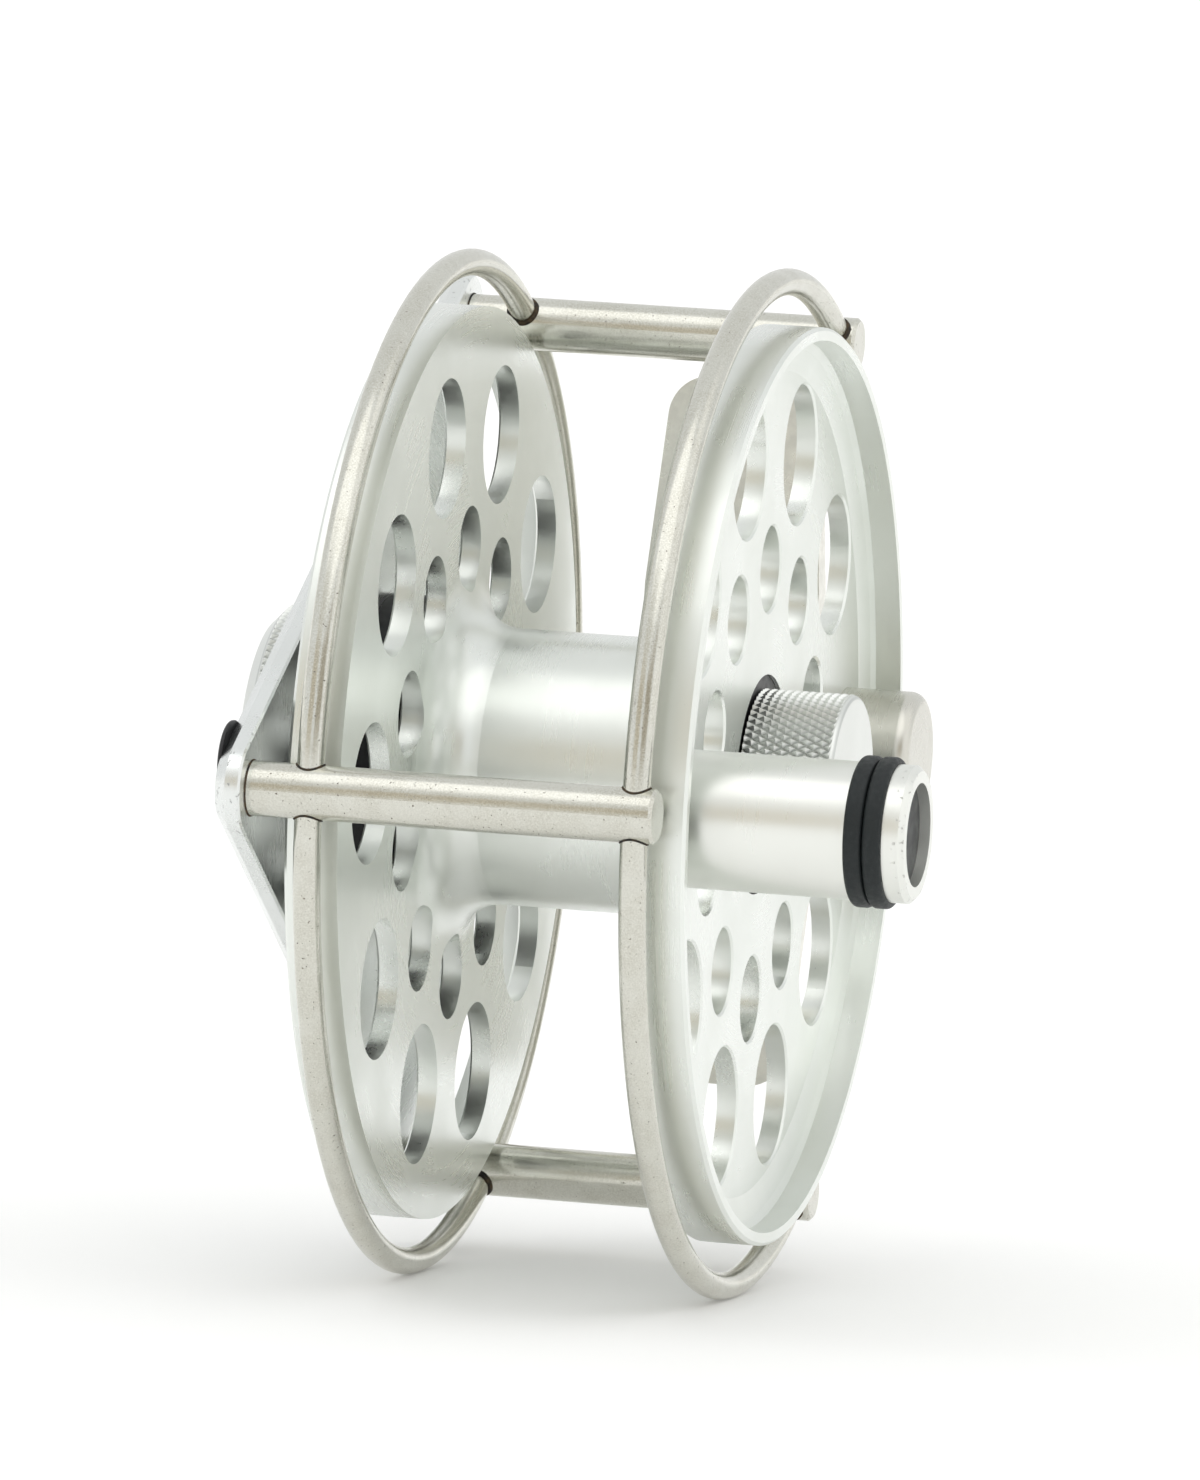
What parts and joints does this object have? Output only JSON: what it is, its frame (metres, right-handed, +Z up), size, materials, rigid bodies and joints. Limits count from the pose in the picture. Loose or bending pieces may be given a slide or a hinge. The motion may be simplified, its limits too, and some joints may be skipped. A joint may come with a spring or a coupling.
{
  "type": "fly fishing reel",
  "caption": "Large-arbour fly reel: perforated aluminium spool with winding handle in a welded stainless rod cage, drag knob, and a foot for the rod seat.",
  "frame": {"origin": "centre of the foot's flat seat, where it lies on the fishing rod", "axes": "+X along the spool's axis towards the winding handle, +Y out of the foot's seat towards the rod, +Z up along the foot and the rod"},
  "size_m": [0.0694, 0.1016, 0.0954],
  "materials": {
    "cage_steel": "satin polished stainless round bar with weld marks and fine pits",
    "plate_aluminium": "clear anodised, bead blasted, worn bright at the corners",
    "pad_rubber": "black rubber pad",
    "foot_steel": "brushed stainless",
    "hardware_steel": "plain steel",
    "black_anodised": "black anodised aluminium",
    "friction_lining": "carbon fibre friction lining",
    "nut_brass": "turned brass",
    "knob_aluminium": "diamond knurled, clear anodised",
    "spool_aluminium": "turned, fine matte clear anodised",
    "seal_rubber": "black nitrile",
    "weight_steel": "turned stainless",
    "grip_aluminium": "turned, satin clear anodised",
    "bush_nylon": "natural acetal",
    "plug_grey": "dark grey oxide",
    "grip_rubber": "smooth black nitrile cord"
  },
  "bodies": {
    "frame": {"rear_ring": "cage_steel", "front_ring": "cage_steel", "crossbar_front": "cage_steel", "crossbar_top": "cage_steel", "crossbar_bottom": "cage_steel", "back_plate": "plate_aluminium", "plate_pads": "pad_rubber", "foot": "foot_steel", "foot_saddle": "foot_steel", "foot_screws": "hardware_steel", "drag_housing": "black_anodised", "housing_cover": "black_anodised", "housing_screws": "hardware_steel", "spindle": "hardware_steel", "front_friction_disc": "friction_lining", "rotor_clip": "hardware_steel", "knob_clip": "hardware_steel"},
    "pressure_plate": {"pressure_plate": "hardware_steel", "rear_friction_disc": "friction_lining", "thrust_pins": "hardware_steel", "drag_spring": "hardware_steel", "adjuster_nut": "nut_brass"},
    "drag_knob": {"drag_knob": "knob_aluminium", "knob_cover": "knob_aluminium"},
    "spool": {"spool": "spool_aluminium", "front_flange": "spool_aluminium", "hub_tube": "black_anodised", "drag_rotor": "hardware_steel", "drive_key": "hardware_steel", "rear_bearing": "hardware_steel", "front_bearing": "hardware_steel", "one_way_clutch": "hardware_steel", "hub_seal": "seal_rubber", "handle_pin": "hardware_steel", "counterweight": "weight_steel", "counterweight_screw": "hardware_steel"},
    "handle": {"handle_grip": "grip_aluminium", "handle_bush": "bush_nylon", "handle_plug": "plug_grey", "inner_grip_ring": "grip_rubber", "outer_grip_ring": "grip_rubber"},
    "cap_washer": {"cap_washer": "bush_nylon"},
    "spool_cap": {"spool_cap": "knob_aluminium"}
  },
  "joints": [
    {"name": "spool_spin", "type": "hinge", "parent": "frame", "child": "spool", "pos_m": [0, -0.051, 0], "axis": [1, 0, 0], "continuous": true},
    {"name": "handle_spin", "type": "hinge", "parent": "spool", "child": "handle", "pos_m": [0.027, -0.08399, -0.00098], "axis": [1, 0, 0], "continuous": true},
    {"name": "drag_knob_turn", "type": "hinge", "parent": "frame", "child": "drag_knob", "pos_m": [-0.027, -0.051, 0], "axis": [1, 0, 0], "range_deg": [0, 300]},
    {"name": "pressure_slide", "type": "slide", "parent": "frame", "child": "pressure_plate", "axis": [1, 0, 0], "range_m": [-0.0002, 0]},
    {"name": "cap_slide", "type": "slide", "parent": "frame", "child": "cap_washer", "axis": [1, 0, 0], "range_m": [0, 0.003]},
    {"name": "cap_turn", "type": "hinge", "parent": "cap_washer", "child": "spool_cap", "pos_m": [0.02, -0.051, 0], "axis": [1, 0, 0], "range_deg": [0, 1440]}
  ],
  "couplings": [
    {"joint": "pressure_slide", "follows": "drag_knob_turn", "m_per_rad": -0.000038197},
    {"joint": "cap_slide", "follows": "cap_turn", "m_per_rad": 0.00011937}
  ]
}
